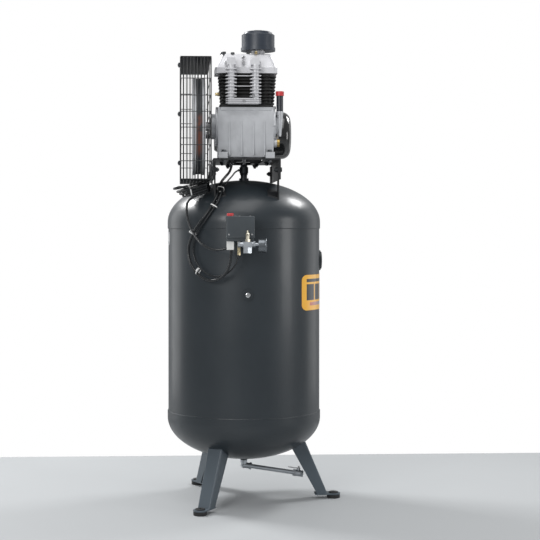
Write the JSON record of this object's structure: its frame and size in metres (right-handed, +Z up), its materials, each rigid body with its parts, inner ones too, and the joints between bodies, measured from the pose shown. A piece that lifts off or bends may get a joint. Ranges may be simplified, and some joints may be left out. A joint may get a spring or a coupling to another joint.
{
  "type": "vertical tank compressor",
  "caption": "Upright air receiver on splayed legs with a belt-driven two-cylinder piston pump, caged flywheel, electric motor, pressure switch and drain valve on top and below.",
  "frame": {"origin": "on the tank axis at floor level, centre of the three-hole foot circle", "axes": "+Z up along the tank axis, -Y towards the name plate and gauge, -X towards the pump and pressure switch, +X towards the motor"},
  "size_m": [0.7943, 0.688, 1.846],
  "materials": {
    "tank_paint": "satin charcoal powder coat",
    "leg_paint": "satin dark grey-blue paint",
    "black_paint": "satin black paint",
    "motor_paint": "gloss black paint",
    "cast_aluminium": "shot-blasted casting",
    "light_aluminium": "pale die casting",
    "cast_iron_black": "black coated cast iron",
    "steel": "machined steel",
    "galvanised": "zinc plated",
    "brass": "satin brass",
    "foot_rubber": "matte black rubber",
    "belt_rubber": "matte belt rubber",
    "filter_plastic": "matte blue-grey plastic",
    "filter_foam": "pleated filter paper",
    "switch_plastic": "dark grey moulded plastic",
    "red_plastic": "red moulded plastic",
    "white_plastic": "white nylon",
    "black_plastic": "black moulded plastic",
    "cable_black": "satin black cable sheath",
    "label_yellow": "printed vinyl label",
    "motor_copper": "varnished copper and lamination"
  },
  "bodies": {
    "frame": {"tank_shell": "tank_paint", "tank_top_head": "tank_paint", "tank_bottom_head": "tank_paint", "tank_bosses": "tank_paint", "tank_plugs": "galvanised", "front_label": "label_yellow", "leg_front": "leg_paint", "leg_rear": "leg_paint", "leg_near": "leg_paint", "foot_pads": "foot_rubber", "drain_elbow": "galvanised", "drain_pipe": "galvanised", "drain_valve_body": "galvanised", "platform": "black_paint", "platform_legs": "black_paint", "bolts_and_nuts": "steel", "crankcase": "cast_aluminium", "crankcase_cover": "cast_aluminium", "bearing_housing": "cast_aluminium", "sight_glass": "brass", "oil_filler_tube": "black_plastic", "connecting_rods": "cast_aluminium", "pistons": "cast_aluminium", "crank_bearings": "steel", "cylinder_block": "cast_iron_black", "valve_plate": "light_aluminium", "cylinder_head": "light_aluminium", "intercooler": "light_aluminium", "air_filter_base": "filter_plastic", "air_filter_element": "filter_foam", "air_filter_cover": "filter_plastic", "v_belt": "belt_rubber", "motor_housing": "motor_paint", "motor_stator": "motor_copper", "motor_fan_cowl": "motor_paint", "terminal_box": "black_plastic", "guard_inner_grille": "black_paint", "guard_outer_grille": "black_paint", "guard_rim": "black_paint", "check_valve": "brass", "delivery_pipe": "steel", "switch_base": "switch_plastic", "switch_cover": "switch_plastic", "switch_fittings": "white_plastic", "air_manifold": "galvanised", "safety_valve": "brass", "gauge_body": "black_plastic", "motor_cable": "cable_black", "unloader_tube": "cable_black", "mains_cable": "cable_black", "mains_hank": "cable_black"},
    "crank": {"crankshaft": "steel", "flywheel": "cast_aluminium"},
    "rotor": {"motor_rotor": "steel", "motor_pulley": "steel"},
    "drain_lever": {"drain_valve_lever": "steel"},
    "button": {"switch_button": "red_plastic"},
    "relief": {"safety_valve_cap": "brass"},
    "needle": {"gauge_needle": "red_plastic"},
    "filler_cap": {"oil_filler_cap": "red_plastic"}
  },
  "joints": [
    {"name": "crank_spin", "type": "hinge", "parent": "frame", "child": "crank", "pos_m": [-0.13, 0.178, 1.47], "axis": [0, 1, 0], "continuous": true, "deforming": ["connecting_rods", "pistons"]},
    {"name": "motor_spin", "type": "hinge", "parent": "frame", "child": "rotor", "pos_m": [0.158, 0.178, 1.456], "axis": [0, 1, 0], "continuous": true},
    {"name": "drain_lever_turn", "type": "hinge", "parent": "frame", "child": "drain_lever", "pos_m": [0, -0.21532, 0.0989], "axis": [0, -0.1564, 0.9877], "range_deg": [0, 90]},
    {"name": "switch_button_pull", "type": "slide", "parent": "frame", "child": "button", "axis": [0, 0, 1], "range_m": [0, 0.005]},
    {"name": "relief_lift", "type": "slide", "parent": "frame", "child": "relief", "axis": [0, 0, 1], "range_m": [0, 0.003], "stiffness_N_per_m": 2000},
    {"name": "gauge_needle_turn", "type": "hinge", "parent": "frame", "child": "needle", "pos_m": [-0.43, -0.056, 1.011], "axis": [0, -1, 0], "range_deg": [-270, 0], "stiffness_Nm_per_rad": 0.001},
    {"name": "filler_cap_lift", "type": "slide", "parent": "frame", "child": "filler_cap", "axis": [0, 0, 1], "range_m": [0, 0.03]}
  ],
  "couplings": [
    {"joint": "motor_spin", "follows": "crank_spin", "ratio": 3.6}
  ]
}
